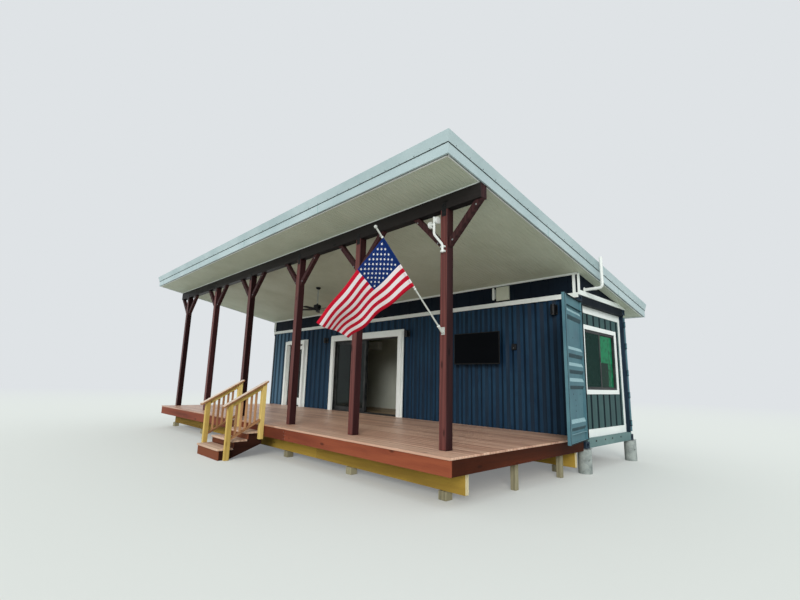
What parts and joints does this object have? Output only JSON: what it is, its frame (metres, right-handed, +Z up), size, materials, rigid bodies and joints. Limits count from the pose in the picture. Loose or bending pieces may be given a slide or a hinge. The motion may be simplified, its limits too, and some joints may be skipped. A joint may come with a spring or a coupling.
{
  "type": "shipping container cabin",
  "caption": "Shipping container cabin on concrete piers with a roofed timber porch, stair, sliding patio door, entry door and opened cargo doors",
  "frame": {"origin": "middle of the overall box on the ground", "axes": "+X along the container towards the cargo doors, +Y from the porch to the back wall, +Z up"},
  "size_m": [12.8249, 8.5107, 4.8395],
  "materials": {
    "navy_steel": "painted corrugated steel, dusty",
    "teal_paint": "grey teal paint",
    "white_paint": "white painted board",
    "galvanised": "grey green coated steel",
    "fascia_metal": "pale coated metal",
    "soffit_board": "cream beaded panel",
    "stained_timber": "dark red brown stain",
    "deck_timber": "red brown deck stain",
    "treated_pine": "pressure treated pine",
    "plain_timber": "sawn softwood",
    "concrete": "cast concrete",
    "interior_board": "pale lining",
    "glass": "green tinted glass",
    "black_plastic": "black",
    "white_plastic": "white",
    "zinc_steel": "zinc plated",
    "flag_cloth": "striped cloth"
  },
  "bodies": {
    "building": {"concrete_piers": "concrete", "corner_posts": "teal_paint", "side_rails": "navy_steel", "cross_members": "teal_paint", "container_floor": "plain_timber", "front_wall": "navy_steel", "back_wall": "navy_steel", "far_end_wall": "teal_paint", "container_roof": "navy_steel", "wall_lining": "interior_board", "ceiling_lining": "interior_board", "end_wall": "teal_paint", "end_trim": "white_paint", "opening_frames": "white_plastic", "fixed_glass": "glass", "door_trims": "white_paint", "knee_wall": "navy_steel", "knee_trim": "white_paint", "soffit": "soffit_board", "rafters": "plain_timber", "fascia": "fascia_metal", "roof_panels": "galvanised", "gutter": "galvanised", "porch_beam": "stained_timber", "porch_posts": "stained_timber", "knee_braces": "stained_timber", "deck_boards": "deck_timber", "deck_rim": "deck_timber", "deck_joists": "treated_pine", "deck_girders": "treated_pine", "stair_carriage": "deck_timber", "stair_treads": "deck_timber", "stair_railings": "treated_pine", "fan_mount": "black_plastic", "wall_lamps": "black_plastic", "wall_fittings": "black_plastic", "vent_pipe": "white_plastic", "post_arm": "white_plastic", "flag_pole": "zinc_steel", "flag": "flag_cloth"},
    "cargo_door_front": {"cargo_door_front": "teal_paint", "front_lock_bars": "teal_paint"},
    "cargo_door_back": {"cargo_door_back": "teal_paint", "back_lock_bars": "teal_paint"},
    "entry_door": {"entry_door": "white_paint", "entry_glass": "glass"},
    "patio_slider": {"patio_slider": "white_plastic", "slider_glass": "glass"},
    "fan_rotor": {"fan_rotor": "black_plastic"}
  },
  "joints": [
    {"name": "front_cargo_hinge", "type": "hinge", "parent": "building", "child": "cargo_door_front", "pos_m": [6.0205, 1.1003, 1.89], "axis": [0, 0, 1], "range_deg": [-3, 170.3]},
    {"name": "back_cargo_hinge", "type": "hinge", "parent": "building", "child": "cargo_door_back", "pos_m": [6.0205, 3.5143, 1.89], "axis": [0, 0, 1], "range_deg": [-262, 0]},
    {"name": "entry_hinge", "type": "hinge", "parent": "building", "child": "entry_door", "pos_m": [-4.8207, 1.2013, 1.7], "axis": [0, 0, 1], "range_deg": [0, 90]},
    {"name": "patio_slide", "type": "slide", "parent": "building", "child": "patio_slider", "axis": [1, 0, 0], "range_m": [0, 1.427]},
    {"name": "fan_spin", "type": "hinge", "parent": "building", "child": "fan_rotor", "pos_m": [-0.5105, -0.6507, 3.4705], "axis": [0, 0, 1], "continuous": true}
  ]
}
